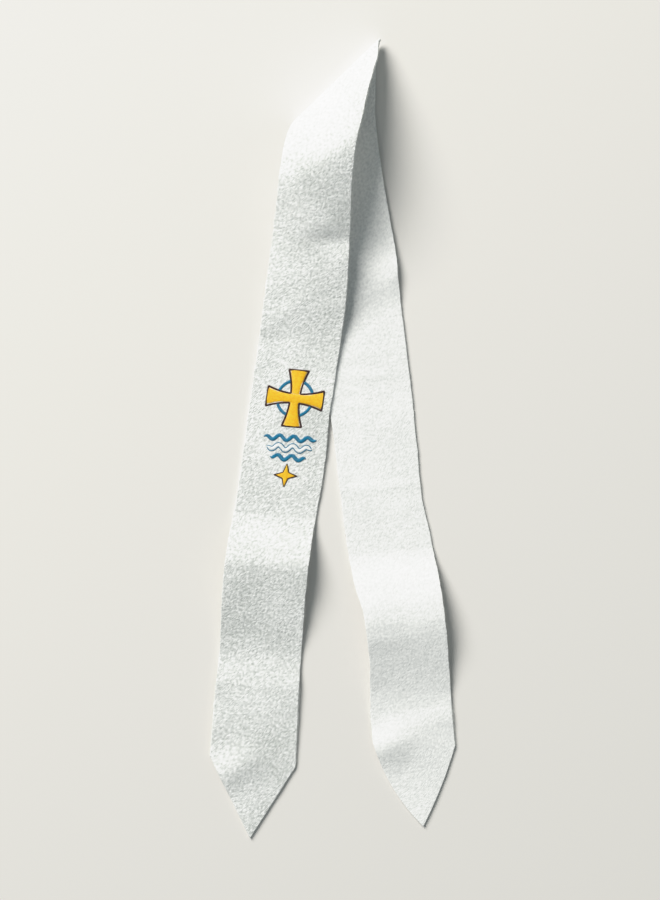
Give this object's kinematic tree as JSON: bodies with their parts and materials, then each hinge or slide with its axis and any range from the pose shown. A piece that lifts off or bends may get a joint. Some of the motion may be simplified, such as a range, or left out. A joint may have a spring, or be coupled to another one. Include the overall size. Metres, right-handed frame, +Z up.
{
  "type": "baptismal stole",
  "caption": "White felt baptismal stole of pointed strips joined at the neck, folded there and laid flat, with a small embroidered cross emblem.",
  "frame": {"origin": "centre of the laid stole in plan, on the surface it lies on", "axes": "+Z up from the surface, +Y along the stole from its pointed ends towards the neck, +X to the right as seen from above"},
  "size_m": [0.2261, 0.7356, 0.0518],
  "materials": {
    "felt": "matt pressed wool-like felt, off-white",
    "felt_inside": "matt pressed wool-like felt, off-white",
    "sewing_thread": "spun white thread",
    "yellow_thread": "lustrous embroidery thread",
    "maroon_thread": "lustrous embroidery thread",
    "teal_thread": "lustrous embroidery thread",
    "white_thread": "lustrous embroidery thread"
  },
  "bodies": {
    "root": {"front_strip": "felt", "back_strip": "felt_inside"}
  },
  "joints": []
}
